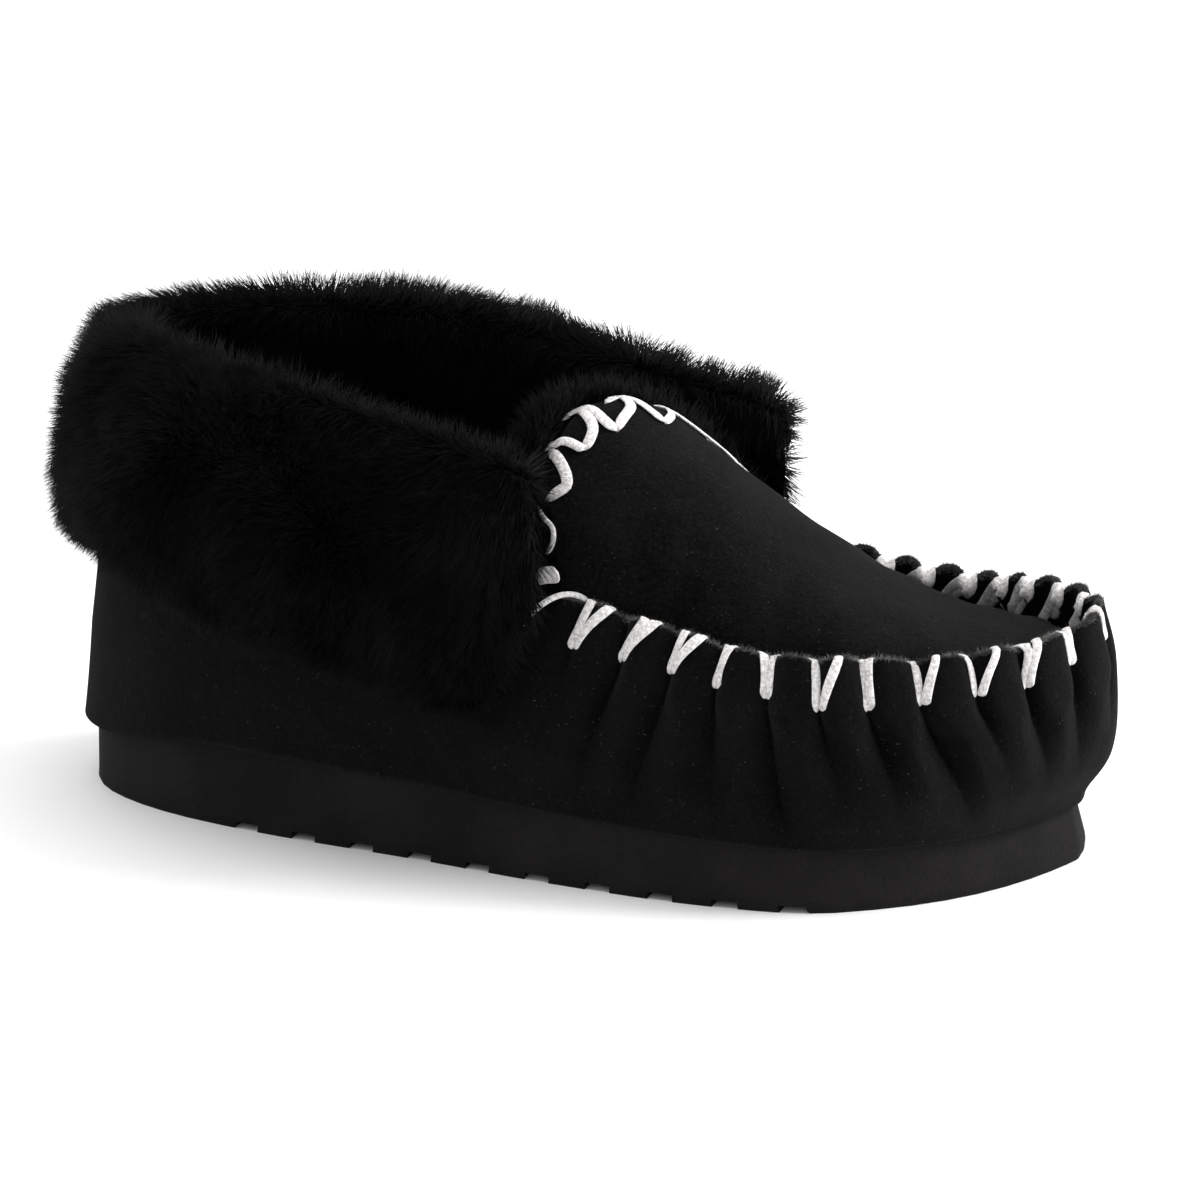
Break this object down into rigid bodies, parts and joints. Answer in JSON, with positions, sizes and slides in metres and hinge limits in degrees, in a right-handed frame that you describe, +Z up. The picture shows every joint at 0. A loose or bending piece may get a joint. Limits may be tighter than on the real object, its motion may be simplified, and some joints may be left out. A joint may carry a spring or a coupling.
{
  "type": "sheepskin moccasin",
  "caption": "Suede sheepskin moccasin with a deep fur cuff, a gathered and laced apron seam, and a thick foam sole with cross grooves.",
  "frame": {"origin": "on the floor under the middle of the sole", "axes": "+X towards the toe, +Y towards the medial side, +Z up"},
  "size_m": [0.2713, 0.1299, 0.1261],
  "materials": {
    "suede": "fine matte nap",
    "foam": "matte moulded foam",
    "fur": "deep soft pile with a faint sheen",
    "wool": "short curled fleece",
    "yarn": "thick soft off-white yarn"
  },
  "bodies": {
    "root": {"outsole": "foam", "upper": "suede", "insole": "wool", "apron": "suede", "fur_cuff": "fur", "tongue_wool": "wool"}
  },
  "joints": []
}
